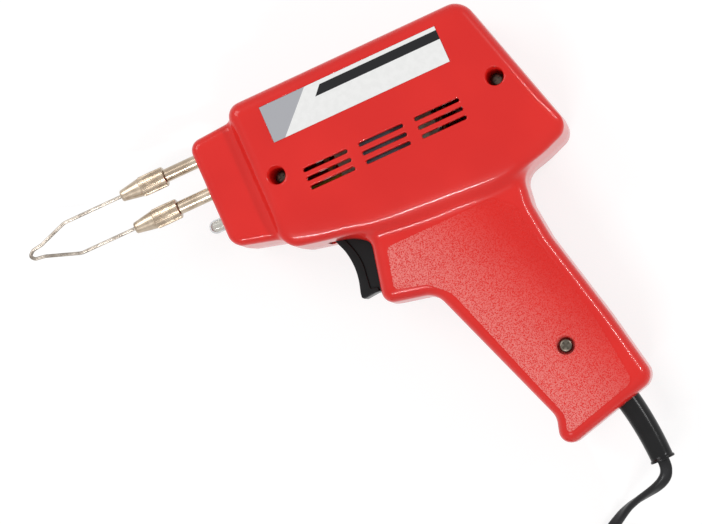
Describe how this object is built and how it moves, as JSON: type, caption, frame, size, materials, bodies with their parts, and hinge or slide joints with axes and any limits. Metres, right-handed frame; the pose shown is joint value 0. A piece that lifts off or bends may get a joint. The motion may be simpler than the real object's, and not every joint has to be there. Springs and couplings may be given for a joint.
{
  "type": "instant-heat soldering iron",
  "caption": "Pistol-shaped transformer soldering iron with a wire loop tip held by knurled collet nuts, a lamp, a trigger, a flat cord and a plug",
  "frame": {"origin": "on the resting side of the body, the flat outer face of the right housing half, below its middle", "axes": "the iron lies on its right side: the tip points along -X, the top of the body along +Y and its left side, with the plate and the screw heads, along +Z"},
  "size_m": [0.2496, 0.3008, 0.054],
  "materials": {
    "red_shell": "moulded, fine grain on the grip",
    "plate_film": "satin printed film, left blank",
    "screw_steel": "zinc plated",
    "core_steel": "oxidised lamination edges",
    "bobbin_plastic": "moulded",
    "winding_copper": "enamelled wire",
    "wrap_paper": "varnished paper",
    "strap_copper": "bare copper",
    "conductor_plate": "nickel plated",
    "nose_resin": "pressed resin",
    "nut_plate": "nickel plated, knurled",
    "tip_copper": "tinned copper wire",
    "lens_clear": "clear moulded lens",
    "bulb_glass": "clear",
    "holder_plastic": "moulded",
    "yellow_wire": "insulated wire",
    "black_trigger": "moulded",
    "pin_steel": "ground",
    "spring_steel": "drawn wire",
    "switch_plastic": "moulded",
    "plunger_plastic": "moulded",
    "terminal_brass": "stamped",
    "block_plastic": "moulded",
    "blue_wire": "insulated wire",
    "brown_wire": "insulated wire",
    "sleeve_rubber": "smooth, slightly glossy",
    "cord_rubber": "smooth, slightly glossy",
    "tie_plastic": "soft strap",
    "plug_plastic": "moulded on the cord",
    "pin_brass": "nickel plated brass"
  },
  "bodies": {
    "housing": {"housing_left": "red_shell", "housing_right": "red_shell", "rating_plate": "plate_film", "housing_screws": "screw_steel", "core_e_sheets": "core_steel", "core_i_sheets": "core_steel", "coil_bobbin": "bobbin_plastic", "primary_winding": "winding_copper", "winding_wrap": "wrap_paper", "secondary_strap": "strap_copper", "upper_conductor": "conductor_plate", "lower_conductor": "conductor_plate", "nose_block": "nose_resin", "lamp_lens": "lens_clear", "lamp_bulb": "bulb_glass", "lamp_holder": "holder_plastic", "lamp_leads": "yellow_wire", "trigger_pin": "pin_steel", "trigger_spring": "spring_steel", "switch_body": "switch_plastic", "switch_terminals": "terminal_brass", "switch_screws": "screw_steel", "terminal_block": "block_plastic", "terminal_screws": "screw_steel", "supply_leads": "blue_wire", "primary_leads": "brown_wire", "cord_clamp": "block_plastic", "clamp_screws": "screw_steel", "strain_relief": "sleeve_rubber", "cord_inner": "cord_rubber", "mains_cord": "cord_rubber", "cord_coil": "cord_rubber", "coil_tie": "tie_plastic", "plug_body": "plug_plastic", "plug_pins": "pin_brass"},
    "trigger": {"trigger": "black_trigger"},
    "plunger": {"switch_plunger": "plunger_plastic"},
    "upper_nut": {"upper_collet_nut": "nut_plate"},
    "lower_nut": {"lower_collet_nut": "nut_plate"},
    "tip": {"tip_wire": "tip_copper"}
  },
  "joints": [
    {"name": "trigger_pull", "type": "hinge", "parent": "housing", "child": "trigger", "pos_m": [-0.037, -0.034, 0.027], "axis": [0, 0, 1], "range_deg": [0, 8], "stiffness_Nm_per_rad": 0.6, "springref_deg": -5.73, "deforming": ["trigger_spring"]},
    {"name": "plunger_slide", "type": "slide", "parent": "housing", "child": "plunger", "axis": [1, 0, 0], "range_m": [0, 0.0027]},
    {"name": "upper_nut_turn", "type": "hinge", "parent": "housing", "child": "upper_nut", "pos_m": [-0.115, 0.0198, 0.027], "axis": [1, 0, 0], "range_deg": [0, 540]},
    {"name": "lower_nut_turn", "type": "hinge", "parent": "housing", "child": "lower_nut", "pos_m": [-0.115, 0.00369, 0.027], "axis": [1, 0, 0], "range_deg": [0, 540]},
    {"name": "tip_pull", "type": "slide", "parent": "housing", "child": "tip", "axis": [-1, 0, 0], "range_m": [0, 0.02]}
  ],
  "couplings": [
    {"joint": "plunger_slide", "follows": "trigger_pull", "m_per_rad": 0.0186}
  ]
}
